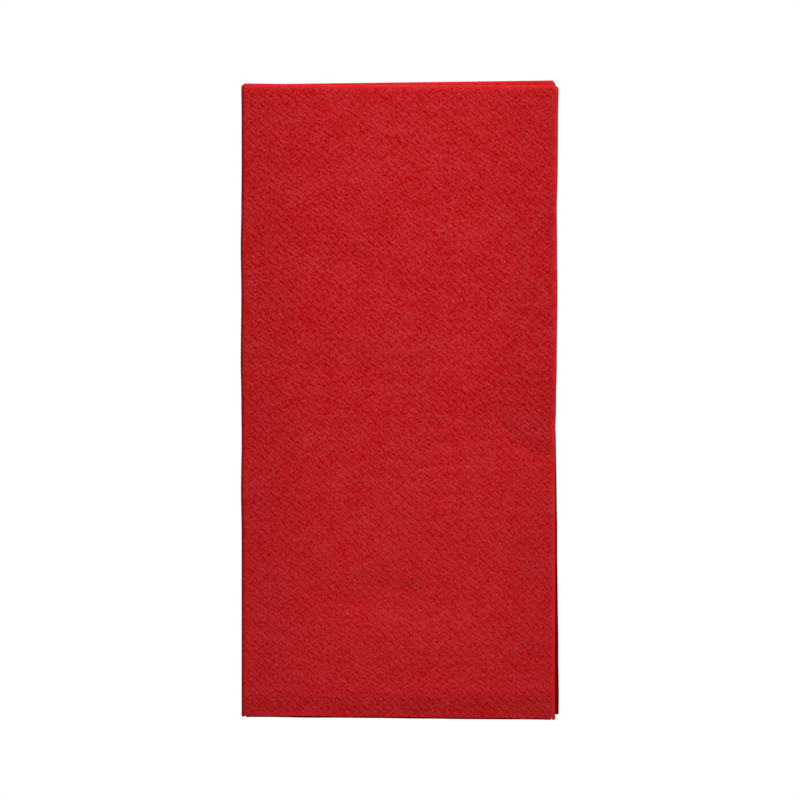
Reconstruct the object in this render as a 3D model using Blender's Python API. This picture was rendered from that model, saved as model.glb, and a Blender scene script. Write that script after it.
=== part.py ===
"""A folded paper napkin, lying flat: one square sheet of soft, thick paper, folded in three.

The square is first folded in half, so that two leaves hang from one fold, then in half across
that fold, and then in half once more the same way. That leaves a long slim packet of eight
layers. Its left side is the spine, where the last fold wraps all of them. Its right side has
the second fold above and cut edges below. Its far end has the first fold, seen four times over,
and its near end has eight cut edges.

Metres, +Z up. X runs from the spine to the open side, Y from the cut end to the folded end, and
the origin is in the middle of the packet, on the surface that it lies on.
"""

import math
from collections import namedtuple

import bmesh
import bpy

# The sheet, and how its layers lie on each other.
SHEET_THICKNESS = 0.00105
LAYER_GAP = 0.00017
LAYER_PITCH = SHEET_THICKNESS + LAYER_GAP

# One row for each run of the two leaves between round folds, in the order in which the sheet
# passes through them. Levels are counted up from the lowest layer. The crown is the far end's
# fold, and the cut is the near end's edge, each at the run's left and at its right.
Run = namedtuple("Run", "outer_level inner_level crown_left crown_right cut_left cut_right")
RUNS = (
    Run(0, 1, 0.0998, 0.0986, -0.0984, -0.0986),
    Run(7, 6, 0.0991, 0.0991, -0.0991, -0.0998),
    Run(4, 5, 0.0997, 0.1006, -0.0984, -0.0986),
    Run(3, 2, 0.0990, 0.0990, -0.0980, -0.0982),
)
INNER_LEAF_OVERHANG = 0.0008
CUT_SETBACK_BY_LEVEL = {0: 0.0010, 1: 0.0005, 2: 0.0, 3: 0.0006}

# One row for each round fold after a run: the side that it bulges to, and the most pitches that
# one on its side spans. The lines of the sheet's two ends pass from the one run's to the next
# run's in a part of its turn. At its tip the far end draws in, and the cut end hangs out.
Bend = namedtuple("Bend", "side widest_span shift_from shift_to corner droop columns")
BENDS = (
    Bend(-1, 7, 0.2, 0.6, 0.0002, 0.0006, 10),
    Bend(1, 3, 0.5, 1.0, 0.0003, 0.0008, 8),
    Bend(-1, 7, 0.0, 1.0, 0.0002, 0.0, 8),
)

# The shape of a round fold, by the number of layer pitches that it spans: how many pitches it
# reaches sideways, and how square it is. A half circle's squareness is 2.
Nose = namedtuple("Nose", "reach squareness")
NOSE_BY_SPAN = {
    1: Nose(0.50, 2.0),
    3: Nose(1.45, 2.2),
    5: Nose(2.20, 2.6),
    7: Nose(2.80, 3.0),
}

# The packet's sides: the spine, the second fold above the open side, and the cut edges below it.
Station = namedtuple("Station", "y spine_x fold_x cut_x")
SIDES = (
    Station(-0.100, -0.0499, 0.0486, 0.0501),
    Station(-0.094, -0.0499, 0.0487, 0.0501),
    Station(-0.082, -0.0499, 0.0488, 0.0500),
    Station(-0.063, -0.0499, 0.0489, 0.0498),
    Station(-0.043, -0.0499, 0.0489, 0.0496),
    Station(-0.028, -0.0501, 0.0489, 0.0494),
    Station(-0.013, -0.0499, 0.0489, 0.0492),
    Station(0.000, -0.0500, 0.0492, 0.0489),
    Station(0.012, -0.0502, 0.0494, 0.0487),
    Station(0.034, -0.0500, 0.0496, 0.0486),
    Station(0.048, -0.0502, 0.0495, 0.0486),
    Station(0.060, -0.0500, 0.0494, 0.0486),
    Station(0.073, -0.0499, 0.0497, 0.0486),
    Station(0.088, -0.0499, 0.0498, 0.0485),
    Station(0.100, -0.0500, 0.0500, 0.0483),
)

# Soft hollows and swellings of the whole stack, as shares of its height.
Swelling = namedtuple("Swelling", "x y half_width half_length share")
SWELLINGS = (
    Swelling(0.000, 0.020, 0.045, 0.080, 0.030),
    Swelling(-0.020, 0.070, 0.030, 0.035, 0.020),
    Swelling(0.044, -0.014, 0.016, 0.012, -0.045),
    Swelling(-0.010, -0.062, 0.018, 0.007, -0.025),
    Swelling(0.012, -0.076, 0.030, 0.010, 0.025),
    Swelling(0.016, -0.0975, 0.034, 0.0035, -0.030),
)

# How much the stack settles at its two ends: from where, over what length, by what share.
Settling = namedtuple("Settling", "from_y length share")
SETTLED_ENDS = (
    Settling(-0.091, -0.008, 0.060),
    Settling(0.0955, 0.005, 0.060),
)

# How finely the flat stretches and the far end's fold are divided, and how much closer than
# evenly the rows lie at the two ends.
RUN_COLUMNS = 7
LEAF_ROWS = 22
END_CLOSENESS = 0.4
CROWN_ROWS = 6

PAPER_RED = (0.42, 0.010, 0.015, 1.0)
PAPER_ROUGHNESS = 0.92

# A place on a leaf's middle line, seen from the cut end, and the way that its outside faces.
Place = namedtuple("Place", "x z face_x face_z")


def between(start, end, share):
    return start + (end - start) * share


def eased(share):
    """A share from 0 to 1 that starts and ends gently."""
    share = min(1.0, max(0.0, share))
    return share * share * (3 - 2 * share)


def side_at(y, column):
    """A side's place at y, read smoothly between the table's rows."""
    for low, high in zip(SIDES, SIDES[1:]):
        if y <= high.y:
            break
    share = eased((y - low.y) / (high.y - low.y))
    return between(getattr(low, column), getattr(high, column), share)


def layer_height(level):
    """The height of the middle of a layer."""
    return SHEET_THICKNESS / 2 + level * LAYER_PITCH


def level_of(run, leaf):
    return RUNS[run].outer_level if leaf == "outer" else RUNS[run].inner_level


def other(leaf):
    return "inner" if leaf == "outer" else "outer"


def span_of(bend, leaf):
    """How many layer pitches a leaf climbs or drops in a round fold."""
    return abs(level_of(bend + 1, leaf) - level_of(bend, leaf))


def bend_root_x(bend, leaf, y):
    """Where a leaf starts to turn. The tips of nested folds lie one pitch inside each other."""
    side = BENDS[bend].side
    span = span_of(bend, leaf)
    edge = side_at(y, "spine_x" if side < 0 else "fold_x")
    inside = SHEET_THICKNESS / 2 + (BENDS[bend].widest_span - span) / 2 * LAYER_PITCH
    return edge - side * (inside + NOSE_BY_SPAN[span].reach * LAYER_PITCH)


def run_limit_x(run, bend, leaf, y):
    """Where a run meets one of the round folds beside it, or ends in a cut edge beyond them."""
    if 0 <= bend < len(BENDS):
        return bend_root_x(bend, leaf, y)
    return side_at(y, "cut_x") - CUT_SETBACK_BY_LEVEL[level_of(run, leaf)]


def in_run(run, share, leaf, y):
    """A leaf in a flat run. The first run and the third head for the spine, the others leave it."""
    level = level_of(run, leaf)
    x = between(run_limit_x(run, run - 1, leaf, y), run_limit_x(run, run, leaf, y), share)
    outside = 1 if level > level_of(run, other(leaf)) else -1
    return Place(x, layer_height(level), 0.0, outside)


def in_bend(bend, share, leaf, y):
    """A leaf in a round fold, whose face turns evenly through a half turn."""
    span = span_of(bend, leaf)
    nose = NOSE_BY_SPAN[span]
    from_z = layer_height(level_of(bend, leaf))
    to_z = layer_height(level_of(bend + 1, leaf))
    up = 1 if to_z > from_z else -1
    reach, rise = nose.reach * LAYER_PITCH, span / 2 * LAYER_PITCH
    turn = math.pi * (share - 0.5)
    face_x, face_z = math.cos(turn), math.sin(turn)
    power = 1 / (nose.squareness - 1)
    size = (reach * face_x) ** (1 + power) + (rise * abs(face_z)) ** (1 + power)
    size **= 1 / nose.squareness
    out = reach * (reach * face_x) ** power / size
    height = math.copysign(rise * (rise * abs(face_z)) ** power / size, face_z)
    side = BENDS[bend].side
    outside = 1 if span > span_of(bend, other(leaf)) else -1
    return Place(
        bend_root_x(bend, leaf, y) + side * out,
        (from_z + to_z) / 2 + up * height,
        outside * side * face_x,
        outside * up * face_z,
    )


def end_line(kind, number, share, end):
    """Where the crown or the cut lies in a column of the sheet, apart from what a bend adds."""
    run = RUNS[number]
    left, right = getattr(run, end + "_left"), getattr(run, end + "_right")
    if kind == "run":
        return between(right, left, share) if number % 2 == 0 else between(left, right, share)
    bend = BENDS[number]
    side = "_left" if bend.side < 0 else "_right"
    share = eased((share - bend.shift_from) / (bend.shift_to - bend.shift_from))
    return between(getattr(run, end + side), getattr(RUNS[number + 1], end + side), share)


def at_tip(kind, number, share, column):
    """A length of the bends' table, whole at the tip of a round fold and nothing at its roots."""
    return getattr(BENDS[number], column) * math.sin(math.pi * share) if kind == "bend" else 0.0


def crown_y(kind, number, share):
    """How far the far end's fold reaches."""
    return end_line(kind, number, share, "crown") - at_tip(kind, number, share, "corner")


def cut_y(kind, number, share, leaf):
    """How far the near end's cut edge reaches."""
    overhang = INNER_LEAF_OVERHANG if leaf == "inner" else at_tip(kind, number, share, "droop")
    return end_line(kind, number, share, "cut") - overhang


def stack_share(x, y):
    """How high the springy stack stands at a place, as a share of its even height."""
    share = 1.0
    for end in SETTLED_ENDS:
        share -= end.share * eased((y - end.from_y) / end.length)
    for swelling in SWELLINGS:
        across = (x - swelling.x) / swelling.half_width
        along = (y - swelling.y) / swelling.half_length
        share += swelling.share * math.exp(-across * across - along * along)
    return share


def folded_place(column, row, offset):
    """Where a point of the sheet lies once it is folded, offset from the sheet's middle."""
    kind, number, share = column
    part, along = row
    section = in_run if kind == "run" else in_bend
    crown_radius = LAYER_PITCH / 2
    crown_start = crown_y(kind, number, share) - SHEET_THICKNESS / 2 - crown_radius
    if part == "crown":
        turn = math.pi * along
        outer = section(number, share, "outer", crown_start)
        inner = section(number, share, "inner", crown_start)
        across = (1 - math.cos(turn)) / 2
        x = between(outer.x, inner.x, across) + offset * outer.face_x * math.cos(turn)
        y = crown_start + (crown_radius + offset) * math.sin(turn)
        z = between(outer.z, inner.z, across) + offset * outer.face_z * math.cos(turn)
    else:
        y = between(cut_y(kind, number, share, part), crown_start, along)
        middle = section(number, share, part, y)
        x = middle.x + offset * middle.face_x
        z = middle.z + offset * middle.face_z
    return x, y, z * stack_share(x, y)


def sheet_columns():
    """(kind, number, share) for each column of the sheet, from one cut side to the other."""
    columns = []
    for number in range(len(RUNS)):
        columns += [("run", number, n / RUN_COLUMNS) for n in range(RUN_COLUMNS + 1)]
        if number < len(BENDS):
            steps = BENDS[number].columns
            columns += [("bend", number, n / steps) for n in range(1, steps)]
    return columns


def leaf_share(number):
    """How far up a leaf a row lies."""
    even = number / LEAF_ROWS
    return even - END_CLOSENESS * math.sin(2 * math.pi * even) / (2 * math.pi)


def sheet_rows():
    """(part, share) for each row of the sheet: up the outer leaf, over the crown, down the inner."""
    rows = [("outer", leaf_share(n)) for n in range(LEAF_ROWS)]
    rows += [("crown", n / CROWN_ROWS) for n in range(CROWN_ROWS + 1)]
    rows += [("inner", leaf_share(n)) for n in reversed(range(LEAF_ROWS))]
    return rows


def flat_sheet(columns, rows):
    """A flat slab, one unit between lines of points, with its middle at height 0."""
    shape = bmesh.new()
    across, along = len(columns) - 1, len(rows) - 1
    bmesh.ops.create_grid(shape, x_segments=across, y_segments=along, size=0.5)
    bmesh.ops.scale(shape, vec=(across, along, 1), verts=shape.verts)
    bmesh.ops.translate(shape, vec=(across / 2, along / 2, -0.5), verts=shape.verts)
    raised = bmesh.ops.extrude_face_region(shape, geom=shape.faces)["geom"]
    raised_points = [item for item in raised if isinstance(item, bmesh.types.BMVert)]
    bmesh.ops.translate(shape, vec=(0, 0, 1), verts=raised_points)
    return shape


def fold(shape, columns, rows):
    """Moves each point of the flat slab to its folded place."""
    for point in shape.verts:
        column, row = columns[round(point.co.x)], rows[round(point.co.y)]
        point.co = folded_place(column, row, point.co.z * SHEET_THICKNESS)


def centre_on_origin(shape):
    """Puts the middle of the packet over the origin, and its underside at height 0."""
    low = [min(point.co[axis] for point in shape.verts) for axis in range(3)]
    high = [max(point.co[axis] for point in shape.verts) for axis in range(3)]
    middle = (-(low[0] + high[0]) / 2, -(low[1] + high[1]) / 2, -low[2])
    bmesh.ops.translate(shape, vec=middle, verts=shape.verts)


def red_paper():
    """Dyed paper, soft and without shine."""
    material = bpy.data.materials.new("red_paper")
    material.use_nodes = True
    surface = material.node_tree.nodes["Principled BSDF"]
    surface.inputs["Base Color"].default_value = PAPER_RED
    surface.inputs["Roughness"].default_value = PAPER_ROUGHNESS
    surface.inputs["Metallic"].default_value = 0.0
    return material


def napkin():
    """The folded sheet as one closed solid."""
    columns, rows = sheet_columns(), sheet_rows()
    shape = flat_sheet(columns, rows)
    fold(shape, columns, rows)
    centre_on_origin(shape)
    bmesh.ops.recalc_face_normals(shape, faces=shape.faces)
    mesh = bpy.data.meshes.new("napkin")
    shape.to_mesh(mesh)
    shape.free()
    mesh.materials.append(red_paper())
    return bpy.data.objects.new("napkin", mesh)


def main():
    for old in list(bpy.data.objects):
        bpy.data.objects.remove(old)
    collection = bpy.data.collections.new("folded_napkin")
    bpy.context.scene.collection.children.link(collection)
    collection.objects.link(napkin())


main()
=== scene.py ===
import math
from collections import namedtuple

import bmesh
import bpy
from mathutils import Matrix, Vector, noise


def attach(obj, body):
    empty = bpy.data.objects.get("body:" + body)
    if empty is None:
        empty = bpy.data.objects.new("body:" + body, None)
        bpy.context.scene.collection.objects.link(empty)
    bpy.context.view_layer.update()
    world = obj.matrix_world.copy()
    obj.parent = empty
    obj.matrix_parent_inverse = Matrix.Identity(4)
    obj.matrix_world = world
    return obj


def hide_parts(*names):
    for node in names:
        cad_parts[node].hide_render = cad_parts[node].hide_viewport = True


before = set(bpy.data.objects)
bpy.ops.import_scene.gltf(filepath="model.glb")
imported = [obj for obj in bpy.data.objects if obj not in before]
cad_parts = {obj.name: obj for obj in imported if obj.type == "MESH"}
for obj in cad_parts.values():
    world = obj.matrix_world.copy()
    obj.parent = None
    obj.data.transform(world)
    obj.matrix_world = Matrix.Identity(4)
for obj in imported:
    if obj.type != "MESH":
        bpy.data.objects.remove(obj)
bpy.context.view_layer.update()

# The napkin: one square of soft air-laid paper, dyed right through and embossed all over with
# short crossing bars, cut with plain edges and folded in three by machine. Its creases alone
# hold it, so the eight layers lie a little apart and the folds stay round.

MM_PER_M = 1000
SHEET_THICKNESS = 0.0007
PACKET_HEIGHT = 0.0095
TOP_LEVEL = 7
LAYER_PITCH = (PACKET_HEIGHT - SHEET_THICKNESS) / TOP_LEVEL

# The runs of the two leaves between round folds, from one cut side of the sheet to the other.
Run = namedtuple("Run", "outer_level inner_level crown_left crown_right cut_left cut_right columns")
RUNS = (
    Run(0, 1, 0.1000, 0.0986, -0.0984, -0.0988, 12),
    Run(7, 6, 0.0991, 0.0991, -0.0993, -0.1002, 104),
    Run(4, 5, 0.0995, 0.1007, -0.0984, -0.0989, 12),
    Run(3, 2, 0.0990, 0.0990, -0.0980, -0.0987, 12),
)
INNER_LEAF_OVERHANG = 0.0005
CUT_SETBACK_BY_LEVEL = {0: 0.0010, 1: 0.0005, 2: 0.0, 3: 0.0006}

# The round fold after each run but the last. The lines of the sheet's ends pass from those of one
# run to those of the next in a part of its turn. At its tip the folded end draws in by the corner.
# The cut end hangs out by the droop where that peaks, at a share of the turn.
Bend = namedtuple("Bend", "side widest_span shift_from shift_to corner droop droop_peak columns")
BENDS = (
    Bend(-1, 7, 0.3, 0.7, 0.0, 0.0004, 0.5, 20),
    Bend(1, 3, 0.78, 1.0, 0.0003, 0.0006, 0.7, 14),
    Bend(-1, 7, 0.0, 1.0, 0.0002, 0.0, 0.5, 14),
)

# The shape of a round fold, by the number of layer pitches that it spans.
Nose = namedtuple("Nose", "reach squareness")
NOSE_BY_SPAN = {
    1: Nose(0.50, 2.0),
    3: Nose(1.00, 3.0),
    5: Nose(1.20, 4.0),
    7: Nose(1.40, 5.0),
}

# The spine, the second fold's edge, and the cut edges under it, along the packet.
Station = namedtuple("Station", "y spine_x fold_x cut_x")
SIDES = (
    Station(-0.100, -0.04995, 0.0489, 0.0501),
    Station(-0.094, -0.04995, 0.0488, 0.0501),
    Station(-0.082, -0.04995, 0.0488, 0.0500),
    Station(-0.063, -0.04995, 0.0489, 0.0498),
    Station(-0.043, -0.04995, 0.0489, 0.0496),
    Station(-0.028, -0.05015, 0.0489, 0.0494),
    Station(-0.013, -0.04995, 0.0489, 0.0492),
    Station(0.000, -0.05005, 0.0492, 0.0489),
    Station(0.012, -0.05025, 0.0494, 0.0487),
    Station(0.034, -0.05005, 0.0496, 0.0486),
    Station(0.048, -0.05025, 0.0495, 0.0486),
    Station(0.060, -0.05005, 0.0494, 0.0486),
    Station(0.073, -0.04995, 0.0497, 0.0486),
    Station(0.088, -0.04995, 0.0498, 0.0485),
    Station(0.100, -0.05005, 0.0500, 0.0483),
)

# Soft hollows and swellings of the stack, and how it settles at its ends, as shares of height.
Swelling = namedtuple("Swelling", "x y half_width half_length share")
SWELLINGS = (
    Swelling(0.000, 0.020, 0.045, 0.080, 0.030),
    Swelling(-0.020, 0.070, 0.030, 0.035, 0.020),
    Swelling(0.044, -0.014, 0.016, 0.012, -0.045),
    Swelling(-0.010, -0.062, 0.018, 0.007, -0.025),
    Swelling(0.012, -0.076, 0.030, 0.010, 0.025),
    Swelling(0.016, -0.1000, 0.034, 0.0050, -0.045),
)
Settling = namedtuple("Settling", "from_y length share")
SETTLED_ENDS = (
    Settling(-0.091, -0.0095, 0.070),
    Settling(0.0962, 0.0030, 0.022),
)

# Creases pressed into the top layers, as soft troughs.
Crease = namedtuple("Crease", "from_x from_y to_x to_y half_width depth")
CREASES = (
    Crease(-0.0135, -0.0651, -0.0063, -0.0591, 0.0012, 0.00012),
    Crease(-0.0063, -0.0591, 0.0063, -0.0591, 0.0012, 0.00012),
    Crease(0.0305, -0.0063, 0.0409, -0.0167, 0.0020, 0.00018),
    Crease(0.0420, -0.0170, 0.0470, -0.0170, 0.0022, 0.00020),
    Crease(0.0148, -0.0053, 0.0305, -0.0053, 0.0012, 0.00006),
    Crease(-0.0430, 0.0600, 0.0040, 0.0600, 0.0018, 0.00008),
    Crease(0.0449, -0.0560, 0.0451, -0.0560, 0.0010, 0.00010),
    Crease(0.0446, -0.0651, 0.0448, -0.0651, 0.0011, 0.00012),
)

# The folded edges stand a little proud of the flat layers beside them. That and the creases fade
# with depth in the stack, by a power of the height.
RELIEF_FADE = 3
BEAD_HEIGHT = 0.00006
SIDE_BEAD_INSET = 0.0012
SIDE_BEAD_HALF_WIDTH = 0.0007
CROWN_BEAD_INSET = 0.0019
CROWN_BEAD_HALF_WIDTH = 0.0010

# The layers lie unevenly on each other, and their cut edges stray: how far, and over what
# distances. A step in the noise from one level's edge to the next keeps them unlike.
UNEVENNESS = 0.00022
UNEVENNESS_SIZE = Vector((0.024, 0.018, 0.0042))
EDGE_WANDER = 0.00012
EDGE_WANDER_LENGTH = 0.012
EDGE_WANDER_STEP = 7.3

OUTER_LEAF_ROWS = 200
CROWN_ROWS = 12
INNER_LEAF_ROWS = 36
SHARP_FROM_DEGREES = 60

# A place on a leaf's middle line, seen from the cut end, and the way that its outside faces.
Place = namedtuple("Place", "x z face_x face_z")


def between(start, end, share):
    return start + (end - start) * share


def eased(share):
    share = min(1.0, max(0.0, share))
    return share * share * (3 - 2 * share)


def side_at(y, column):
    for low, high in zip(SIDES, SIDES[1:]):
        if y <= high.y:
            break
    share = eased((y - low.y) / (high.y - low.y))
    return between(getattr(low, column), getattr(high, column), share)


def layer_height(level):
    return SHEET_THICKNESS / 2 + level * LAYER_PITCH


def level_of(run, leaf):
    return RUNS[run].outer_level if leaf == "outer" else RUNS[run].inner_level


def other(leaf):
    return "inner" if leaf == "outer" else "outer"


def span_of(bend, leaf):
    return abs(level_of(bend + 1, leaf) - level_of(bend, leaf))


def bend_root_x(bend, leaf, y):
    """Where a leaf starts to turn. The tips of nested folds lie one pitch inside each other."""
    side = BENDS[bend].side
    span = span_of(bend, leaf)
    edge = side_at(y, "spine_x" if side < 0 else "fold_x")
    inside = SHEET_THICKNESS / 2 + (BENDS[bend].widest_span - span) / 2 * LAYER_PITCH
    return edge - side * (inside + NOSE_BY_SPAN[span].reach * LAYER_PITCH)


def wander(along, level):
    """How far the cut edge of a level strays from its line."""
    place = Vector((along / EDGE_WANDER_LENGTH, level * EDGE_WANDER_STEP, 0.0))
    return EDGE_WANDER * noise.noise(place)


def run_limit_x(run, bend, leaf, y):
    """Where a run meets one of the round folds beside it, or ends in a cut edge beyond them."""
    if 0 <= bend < len(BENDS):
        return bend_root_x(bend, leaf, y)
    level = level_of(run, leaf)
    return side_at(y, "cut_x") - CUT_SETBACK_BY_LEVEL[level] + wander(y, level)


def in_run(run, share, leaf, y):
    level = level_of(run, leaf)
    x = between(run_limit_x(run, run - 1, leaf, y), run_limit_x(run, run, leaf, y), share)
    outside = 1 if level > level_of(run, other(leaf)) else -1
    return Place(x, layer_height(level), 0.0, outside)


def in_bend(bend, share, leaf, y):
    """A leaf in a round fold, whose face turns evenly through a half turn."""
    span = span_of(bend, leaf)
    nose = NOSE_BY_SPAN[span]
    from_z = layer_height(level_of(bend, leaf))
    to_z = layer_height(level_of(bend + 1, leaf))
    up = 1 if to_z > from_z else -1
    reach, rise = nose.reach * LAYER_PITCH, span / 2 * LAYER_PITCH
    turn = math.pi * (share - 0.5)
    face_x, face_z = math.cos(turn), math.sin(turn)
    power = 1 / (nose.squareness - 1)
    size = (reach * face_x) ** (1 + power) + (rise * abs(face_z)) ** (1 + power)
    size **= 1 / nose.squareness
    out = reach * (reach * face_x) ** power / size
    height = math.copysign(rise * (rise * abs(face_z)) ** power / size, face_z)
    side = BENDS[bend].side
    outside = 1 if span > span_of(bend, other(leaf)) else -1
    return Place(
        bend_root_x(bend, leaf, y) + side * out,
        (from_z + to_z) / 2 + up * height,
        outside * side * face_x,
        outside * up * face_z,
    )


def end_line(kind, number, share, end):
    """Where the far fold or the near cut lies in a column of the sheet."""
    run = RUNS[number]
    left, right = getattr(run, end + "_left"), getattr(run, end + "_right")
    if kind == "run":
        return between(right, left, share) if number % 2 == 0 else between(left, right, share)
    bend = BENDS[number]
    side = "_left" if bend.side < 0 else "_right"
    share = eased((share - bend.shift_from) / (bend.shift_to - bend.shift_from))
    return between(getattr(run, end + side), getattr(RUNS[number + 1], end + side), share)


def corner_at(kind, number, share):
    """How far a round fold's folded end draws in, which is nothing at its roots."""
    return BENDS[number].corner * math.sin(math.pi * share) if kind == "bend" else 0.0


def droop_at(kind, number, share):
    """How far a round fold's cut end hangs out, which is nothing at its roots."""
    if kind == "run":
        return 0.0
    bend = BENDS[number]
    power = math.log(0.5) / math.log(bend.droop_peak)
    return bend.droop * math.sin(math.pi * share ** power)


def stack_share(x, y):
    share = 1.0
    for end in SETTLED_ENDS:
        share -= end.share * eased((y - end.from_y) / end.length)
    for swelling in SWELLINGS:
        across = (x - swelling.x) / swelling.half_width
        along = (y - swelling.y) / swelling.half_length
        share += swelling.share * math.exp(-across * across - along * along)
    return share


def bump_of(distance, half_width):
    return math.exp(-((distance / half_width) ** 2))


def crease_relief(x, y):
    """The height that beads and creases add to the top layer."""
    relief = BEAD_HEIGHT * bump_of(x - side_at(y, "fold_x") + SIDE_BEAD_INSET, SIDE_BEAD_HALF_WIDTH)
    crown = RUNS[1].crown_right
    relief += BEAD_HEIGHT * bump_of(y - crown + CROWN_BEAD_INSET, CROWN_BEAD_HALF_WIDTH)
    for crease in CREASES:
        start = Vector((crease.from_x, crease.from_y))
        run = Vector((crease.to_x, crease.to_y)) - start
        offset = Vector((x, y)) - start
        share = min(1.0, max(0.0, offset.dot(run) / run.length_squared))
        relief -= crease.depth * bump_of((offset - run * share).length, crease.half_width)
    return relief


def settled(x, y, z):
    """Moves a point of the even packet to where the uneven one has it."""
    depth = z / PACKET_HEIGHT
    size = UNEVENNESS_SIZE
    uneven = UNEVENNESS * noise.noise(Vector((x / size.x, y / size.y, z / size.z)))
    relief = crease_relief(x, y) * depth ** RELIEF_FADE + uneven * depth
    return Vector((x, y, z * stack_share(x, y) + relief))


def folded_place(column, row, offset):
    """Where a point of the sheet lies once it is folded, offset from the sheet's middle."""
    kind, number, share = column
    part, along = row
    section = in_run if kind == "run" else in_bend
    crown_radius = LAYER_PITCH / 2
    crown_start = end_line(kind, number, share, "crown") - corner_at(kind, number, share)
    crown_start -= SHEET_THICKNESS / 2 + crown_radius
    if part == "crown":
        turn = math.pi * along
        outer = section(number, share, "outer", crown_start)
        inner = section(number, share, "inner", crown_start)
        across = (1 - math.cos(turn)) / 2
        x = between(outer.x, inner.x, across) + offset * outer.face_x * math.cos(turn)
        y = crown_start + (crown_radius + offset) * math.sin(turn)
        z = between(outer.z, inner.z, across) + offset * outer.face_z * math.cos(turn)
        return settled(x, y, z)
    overhang = INNER_LEAF_OVERHANG if part == "inner" else droop_at(kind, number, share)
    y = between(end_line(kind, number, share, "cut") - overhang, crown_start, along)
    middle = section(number, share, part, y)
    y += wander(middle.x, level_of(number, part)) * (1 - along)
    return settled(middle.x + offset * middle.face_x, y, middle.z + offset * middle.face_z)


def sheet_columns():
    columns = []
    for number, run in enumerate(RUNS):
        columns += [("run", number, n / run.columns) for n in range(run.columns + 1)]
        if number < len(BENDS):
            steps = BENDS[number].columns
            columns += [("bend", number, n / steps) for n in range(1, steps)]
    return columns


def sheet_rows():
    rows = [("outer", n / OUTER_LEAF_ROWS) for n in range(OUTER_LEAF_ROWS)]
    rows += [("crown", n / CROWN_ROWS) for n in range(CROWN_ROWS + 1)]
    rows += [("inner", 1 - n / INNER_LEAF_ROWS) for n in range(1, INNER_LEAF_ROWS + 1)]
    return rows


def flat_sheet(columns, rows):
    """A flat slab, one unit between lines of points, with its middle at height 0."""
    shape = bmesh.new()
    across, along = len(columns) - 1, len(rows) - 1
    bmesh.ops.create_grid(shape, x_segments=across, y_segments=along, size=0.5)
    bmesh.ops.scale(shape, vec=(across, along, 1), verts=shape.verts)
    bmesh.ops.translate(shape, vec=(across / 2, along / 2, -0.5), verts=shape.verts)
    raised = bmesh.ops.extrude_face_region(shape, geom=shape.faces)["geom"]
    raised_points = [item for item in raised if isinstance(item, bmesh.types.BMVert)]
    bmesh.ops.translate(shape, vec=(0, 0, 1), verts=raised_points)
    return shape


def running_length(points):
    """How far along a line each of its points is."""
    lengths = [0.0]
    for start, end in zip(points, points[1:]):
        lengths.append(lengths[-1] + (end - start).length)
    return lengths


def napkin_mesh():
    """The folded sheet and its flat width in millimetres. A UV map keeps its flat coordinates."""
    columns, rows = sheet_columns(), sheet_rows()
    middle_row = rows[OUTER_LEAF_ROWS // 2]
    flat_x = running_length([folded_place(column, middle_row, 0.0) for column in columns])
    flat_y = running_length([folded_place(columns[0], row, 0.0) for row in rows])
    shape = flat_sheet(columns, rows)
    flat_map = shape.loops.layers.uv.new("flat_sheet")
    for face in shape.faces:
        for corner in face.loops:
            place = corner.vert.co
            corner[flat_map].uv = (flat_x[round(place.x)], flat_y[round(place.y)])
    for point in shape.verts:
        column, row = columns[round(point.co.x)], rows[round(point.co.y)]
        point.co = folded_place(column, row, point.co.z * SHEET_THICKNESS)
    bmesh.ops.recalc_face_normals(shape, faces=shape.faces)
    mesh = bpy.data.meshes.new("folded_sheet")
    shape.to_mesh(mesh)
    shape.free()
    mesh.shade_smooth()
    mesh.set_sharp_from_angle(angle=math.radians(SHARP_FROM_DEGREES))
    return mesh, flat_x[-1] * MM_PER_M


def middle_of(mesh):
    """The middle of a mesh's outline, at its lowest height."""
    low = [min(point.co[axis] for point in mesh.vertices) for axis in range(3)]
    high = [max(point.co[axis] for point in mesh.vertices) for axis in range(3)]
    return Vector(((low[0] + high[0]) / 2, (low[1] + high[1]) / 2, low[2]))


sheet_mesh, sheet_width = napkin_mesh()
packet_middle = middle_of(sheet_mesh)
for point in sheet_mesh.vertices:
    point.co -= packet_middle
napkin = bpy.data.objects.new("folded_sheet", sheet_mesh)
bpy.context.scene.collection.objects.link(napkin)


class Signal:
    """A shader socket. Arithmetic on it adds Math nodes."""

    def __init__(self, socket):
        self.socket = socket

    def node(self, kind, settings, inputs, output=0):
        """Any other node: its type, its settings, and the values or links of its sockets."""
        tree = self.socket.id_data
        made = tree.nodes.new(kind)
        for name, value in settings.items():
            setattr(made, name, value)
        for name, value in inputs.items():
            if isinstance(value, Signal):
                tree.links.new(value.socket, made.inputs[name])
            else:
                made.inputs[name].default_value = value
        return Signal(made.outputs[output])

    def math(self, operation, *values):
        return self.node("ShaderNodeMath", {"operation": operation}, dict(enumerate(values)))

    def __add__(self, other):
        return self.math("ADD", self, other)

    def __sub__(self, other):
        return self.math("SUBTRACT", self, other)

    def __rsub__(self, other):
        return self.math("SUBTRACT", other, self)

    def __abs__(self):
        return self.math("ABSOLUTE", self)

    def fraction(self):
        return self.math("FRACT", self)

    def __mul__(self, other):
        return self.math("MULTIPLY", self, other)

    __rmul__ = __mul__


# Lengths in the paper's shader are in millimetres, of the flat sheet or of the packet. A bar is at
# its full depth up to one share of its half width or half length, and ends at another.
CELL_WIDTH = 2.86
CELL_LENGTH = 2.90
EMBOSS_SLANT = 0.007
BAR_HALF_LENGTH = 1.15
BAR_LENGTH_FULL_TO = 0.7
BAR_LENGTH_ENDS_AT = 1.2
BAR_HALF_WIDTH = 0.33
BAR_WIDTH_FULL_TO = 0.3
BAR_WIDTH_ENDS_AT = 1.6
DIAGONAL = math.sqrt(0.5)
EMBOSS_DEPTH = 0.135
FIBRE_HEIGHT = 0.152
CLOUD_HEIGHT = 0.055

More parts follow.
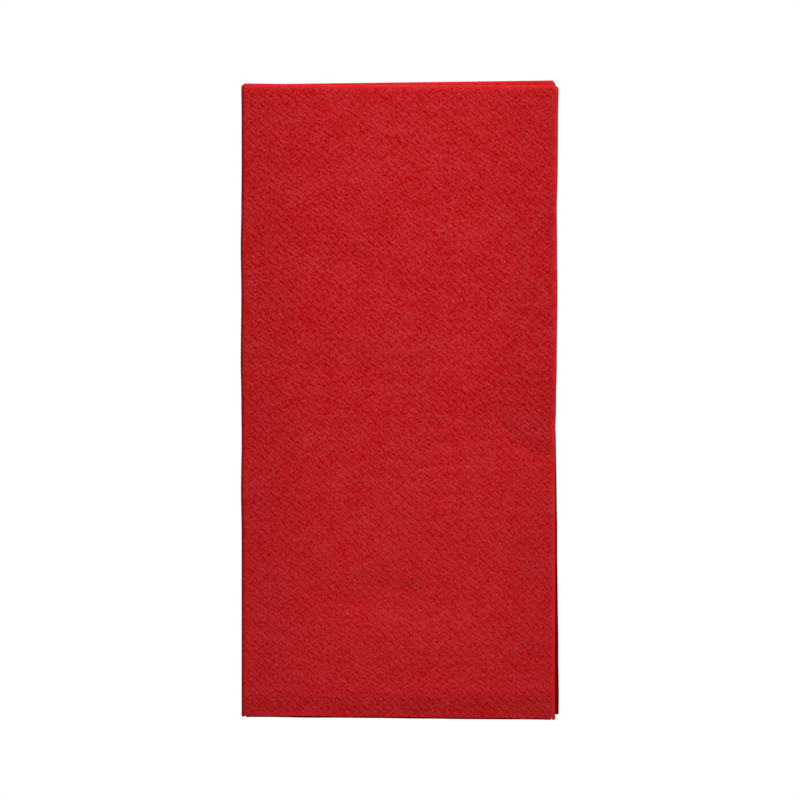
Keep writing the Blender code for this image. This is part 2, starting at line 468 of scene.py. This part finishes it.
# The emboss is flattened beside the packet's sides and its far fold, and the bars and fibres are
# softer toward the cut end.
HALF_PACKET_WIDTH = 50
HALF_PACKET_LENGTH = 100
FLATTENED_FROM = 0.8
FLATTENED_TO = 3.2
FLATTENED_BY = 0.8
SOFTER_FROM = 65
SOFTER_TO = 105
SOFTER_BY = 0.17

# Noises from -1 to 1, with about so many features in a metre, each turned by an angle in radians
# and drawn out along it.
Grain = namedtuple("Grain", "scale detail roughness turn stretch")
STRAY_ACROSS = Grain(260, 2, 0.5, 0.0, 1.0)
STRAY_ALONG = Grain(290, 2, 0.5, 1.1, 1.0)
BAR_STRENGTH = Grain(330, 3, 0.6, 0.0, 1.0)
FALLING_FIBRES = Grain(1600, 4, 0.65, 0.9, 1.8)
RISING_FIBRES = Grain(1800, 4, 0.65, -0.7, 1.8)
CLOUDS = Grain(420, 3, 0.55, 0.05, 2.6)
PATCHES = Grain(85, 2, 0.5, -0.3, 1.5)
BARS_STRAY_BY = 0.30
BAR_STRENGTH_MEAN = 0.80
BAR_STRENGTH_VARIES_BY = 0.45

# The paper's two reds, and what each part of the relief adds to the paler one's share. The paler
# red on raised fibres is partly their own tone and partly a painted highlight, and the deeper red
# of the pressed bars is partly painted shade in those hollows. A dark red along the cut sides is
# painted shade, and the colour is darkened toward the packet's sides as painted shade.
DEEP_RED = (0.436, 0.0038, 0.0055, 1.0)
LIGHT_RED = (0.516, 0.0285, 0.0330, 1.0)
MIDDLE_TONE = 0.47
FIBRE_TONE_AND_HIGHLIGHT = 0.95
CLOUD_TONE = 0.36
PATCH_TONE = 0.20
PRESSED_TONE_AND_SHADE = -0.24
CUT_SIDE_PAINTED_SHADE = (0.210, 0.0010, 0.0026, 1.0)
CUT_SIDE_SHADE_WIDTH = 1.2
SIDES_SHADED_FROM = 18
SIDES_SHADED_TO = 55
SIDES_SHADED_BY = 0.11
PAPER_ROUGHNESS = 0.8

# A Mix node's colour sockets are told apart by number, because its sockets share their names.
MIX_FACTOR = 0
MIX_FIRST = 6
MIX_SECOND = 7
MIX_RESULT = 2


def falloff(distance, start, end):
    """1 up to the start, easing to 0 at the end."""
    levels = {"From Min": start, "From Max": end, "To Min": 1.0, "To Max": 0.0}
    settings = {"interpolation_type": "SMOOTHSTEP"}
    return distance.node("ShaderNodeMapRange", settings, {"Value": distance, **levels})


def noise_of(place, grain):
    turned = place.node("ShaderNodeMapping", {"vector_type": "TEXTURE"}, {
        "Vector": place,
        "Rotation": (0, 0, grain.turn),
        "Scale": (grain.stretch, 1, 1),
    })
    return place.node("ShaderNodeTexNoise", {}, {
        "Vector": turned,
        "Scale": grain.scale,
        "Detail": grain.detail,
        "Roughness": grain.roughness,
    }) * 2 - 1


def mixed(share, first, second):
    """The first colour, and over it the second by its share."""
    colours = {MIX_FACTOR: share, MIX_FIRST: first, MIX_SECOND: second}
    return share.node("ShaderNodeMix", {"data_type": "RGBA"}, colours, MIX_RESULT)


def in_millimetres(place, axis):
    return place.node("ShaderNodeSeparateXYZ", {}, {0: place}, axis) * MM_PER_M


def pressed_bars(across_sheet, along_sheet, shift, lean):
    """A family of short bars pressed into the sheet, one in each cell, that all lean one way."""
    cell_x = ((across_sheet * (1 / CELL_WIDTH) + shift).fraction() - 0.5) * CELL_WIDTH
    cell_y = ((along_sheet * (1 / CELL_LENGTH) + shift).fraction() - 0.5) * CELL_LENGTH
    along = abs((cell_x + lean * cell_y) * DIAGONAL)
    across = abs((cell_x - lean * cell_y) * DIAGONAL)
    half_width, half_length = BAR_HALF_WIDTH, BAR_HALF_LENGTH
    width = falloff(across, half_width * BAR_WIDTH_FULL_TO, half_width * BAR_WIDTH_ENDS_AT)
    length = falloff(along, half_length * BAR_LENGTH_FULL_TO, half_length * BAR_LENGTH_ENDS_AT)
    return width * length


def both_bars(flat_x, flat_y, place):
    """Both families of bars, which stray a little from their rows."""
    stray_x = noise_of(place, STRAY_ACROSS) * BARS_STRAY_BY
    stray_y = noise_of(place, STRAY_ALONG) * BARS_STRAY_BY
    across_sheet = flat_x + flat_y * EMBOSS_SLANT + stray_x
    along_sheet = flat_y - flat_x * EMBOSS_SLANT + stray_y
    falling = pressed_bars(across_sheet, along_sheet, 0.0, -1)
    rising = pressed_bars(across_sheet, along_sheet, 0.5, 1)
    return falling + rising


def paper_material(flat_width):
    """Matt dyed fibres, pressed and cloudy, paler where they stand up from the surface, partly as a
    painted highlight, and deeper red in the pressed bars, partly as painted shade. It also has
    painted shade along the cut sides and toward the packet's sides.
    """
    material = bpy.data.materials.new("embossed_red_paper")
    material.use_nodes = True
    tree = material.node_tree
    principled = tree.nodes["Principled BSDF"]
    principled.inputs["Roughness"].default_value = PAPER_ROUGHNESS
    principled.inputs["Specular IOR Level"].default_value = 0.0

    paper = Signal(principled.outputs[0])
    flat = paper.node("ShaderNodeUVMap", {"uv_map": "flat_sheet"}, {})
    flat_x, flat_y = in_millimetres(flat, "X"), in_millimetres(flat, "Y")
    place = paper.node("ShaderNodeTexCoord", {}, {}, "Object")
    place_x, place_y = in_millimetres(place, "X"), in_millimetres(place, "Y")

    at_side = falloff(HALF_PACKET_WIDTH - abs(place_x), FLATTENED_FROM, FLATTENED_TO)
    at_crown = falloff(HALF_PACKET_LENGTH - place_y, FLATTENED_FROM, FLATTENED_TO)
    flattened = at_side.math("MAXIMUM", at_side, at_crown)
    near_end = falloff(place_y + HALF_PACKET_LENGTH, SOFTER_FROM, SOFTER_TO)
    relief_kept = 1 - near_end * SOFTER_BY
    strength = noise_of(place, BAR_STRENGTH) * BAR_STRENGTH_VARIES_BY + BAR_STRENGTH_MEAN
    strength = strength * (1 - flattened * FLATTENED_BY) * relief_kept
    pressed = both_bars(flat_x, flat_y, place) * strength

    fibres = noise_of(place, FALLING_FIBRES) + noise_of(place, RISING_FIBRES)
    fibres = fibres * relief_kept
    clouds = noise_of(place, CLOUDS)
    height = clouds * CLOUD_HEIGHT + fibres * FIBRE_HEIGHT - pressed * EMBOSS_DEPTH
    bump = {"Height": height, "Distance": 1 / MM_PER_M, "Strength": 1.0}
    tree.links.new(paper.node("ShaderNodeBump", {}, bump).socket, principled.inputs["Normal"])

    # Partly painted highlight and shade: raised fibres turn the colour paler and the pressed bars
    # deeper red, besides the fibres' own random tone.
    tone = fibres * FIBRE_TONE_AND_HIGHLIGHT + clouds * CLOUD_TONE + noise_of(place, PATCHES) * PATCH_TONE
    tone = tone + pressed * PRESSED_TONE_AND_SHADE + MIDDLE_TONE
    colour = mixed(tone.node("ShaderNodeClamp", {}, {"Value": tone}), DEEP_RED, LIGHT_RED)
    # Painted shade: a band along the sheet's cut sides is darkened to a deep red.
    from_cut_side = flat_width / 2 - abs(flat_x - flat_width / 2)
    cut_side_shade = falloff(from_cut_side, CUT_SIDE_SHADE_WIDTH / 2, CUT_SIDE_SHADE_WIDTH)
    colour = mixed(cut_side_shade, colour, CUT_SIDE_PAINTED_SHADE)
    # Painted shade: the colour is darkened toward the packet's left and right sides.
    middle = falloff(abs(place_x), SIDES_SHADED_FROM, SIDES_SHADED_TO)
    kept = middle * SIDES_SHADED_BY + (1 - SIDES_SHADED_BY)
    scaled = {0: colour, "Scale": kept}
    colour = paper.node("ShaderNodeVectorMath", {"operation": "SCALE"}, scaled)
    tree.links.new(colour.socket, principled.inputs["Base Color"])
    return material


sheet_mesh.materials.append(paper_material(sheet_width))
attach(napkin, "root")
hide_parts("napkin")

# The table: a plain white floor just under the napkin. It shines evenly and reflects nothing, so
# it takes no shadow, and it throws no light up at the napkin.

FLOOR_SIZE = 6.0
FLOOR_BELOW = 0.0002
FLOOR_WHITE = (1.0, 1.0, 1.0, 1.0)
FLOOR_BLACK = (0.0, 0.0, 0.0, 1.0)


def white_table():
    shape = bmesh.new()
    bmesh.ops.create_grid(shape, x_segments=1, y_segments=1, size=FLOOR_SIZE / 2)
    mesh = bpy.data.meshes.new("table")
    shape.to_mesh(mesh)
    shape.free()
    material = bpy.data.materials.new("white_table")
    material.use_nodes = True
    principled = material.node_tree.nodes["Principled BSDF"]
    principled.inputs["Base Color"].default_value = FLOOR_BLACK
    principled.inputs["Specular IOR Level"].default_value = 0.0
    principled.inputs["Emission Color"].default_value = FLOOR_WHITE
    principled.inputs["Emission Strength"].default_value = 1.0
    mesh.materials.append(material)
    table = bpy.data.objects.new("table", mesh)
    table.location.z = -FLOOR_BELOW
    table.visible_diffuse = False
    table.visible_glossy = False
    bpy.context.scene.collection.objects.link(table)
    return table


white_table()

# The light: a low soft box beyond the napkin's far end on the right, and a room that is palest all
# round the horizon.

BOX_AZIMUTH = 26
BOX_ELEVATION = 32
BOX_DISTANCE = 1.7
BOX_SIZE = 0.6
BOX_POWER = 44.5
ROOM_WHITE = (1.0, 1.0, 1.0, 1.0)
ROOM_BRIGHTNESS = 0.25
HORIZON_BRIGHTNESS = 0.90
HORIZON_PALE_TO = 0.10
HORIZON_FADED_AT = 0.35


def far_soft_box():
    light = bpy.data.lights.new("far_soft_box", "AREA")
    light.shape = "DISK"
    light.size = BOX_SIZE
    light.energy = BOX_POWER
    lamp = bpy.data.objects.new("far_soft_box", light)
    azimuth, elevation = math.radians(BOX_AZIMUTH), math.radians(BOX_ELEVATION)
    level = BOX_DISTANCE * math.cos(elevation)
    lamp.location = (
        level * math.sin(azimuth),
        level * math.cos(azimuth),
        BOX_DISTANCE * math.sin(elevation),
    )
    lamp.rotation_euler = lamp.location.to_track_quat("Z", "Y").to_euler()
    bpy.context.scene.collection.objects.link(lamp)


def pale_room():
    world = bpy.data.worlds.new("pale_room")
    world.use_nodes = True
    background = world.node_tree.nodes["Background"]
    background.inputs["Color"].default_value = ROOM_WHITE
    room = Signal(background.outputs[0])
    way = room.node("ShaderNodeTexCoord", {}, {}, "Generated")
    from_horizon = abs(room.node("ShaderNodeSeparateXYZ", {}, {0: way}, "Z"))
    at_horizon = falloff(from_horizon, HORIZON_PALE_TO, HORIZON_FADED_AT)
    lit = at_horizon * (HORIZON_BRIGHTNESS - ROOM_BRIGHTNESS) + ROOM_BRIGHTNESS
    world.node_tree.links.new(lit.socket, background.inputs["Strength"])
    bpy.context.scene.world = world


far_soft_box()
pale_room()

# The camera looks straight down, with its middle where the photograph has its own.

VIEW_WIDTH = 0.2516
CAMERA_HEIGHT = 2.0
SENSOR_WIDTH = 36.0

camera_data = bpy.data.cameras.new("camera")
camera_data.sensor_width = SENSOR_WIDTH
camera_data.lens = SENSOR_WIDTH * (CAMERA_HEIGHT - PACKET_HEIGHT) / VIEW_WIDTH
camera = bpy.data.objects.new("camera", camera_data)
camera.location = (-packet_middle.x, -packet_middle.y, CAMERA_HEIGHT)
bpy.context.scene.collection.objects.link(camera)
bpy.context.scene.camera = camera
bpy.context.scene.view_settings.view_transform = "Standard"
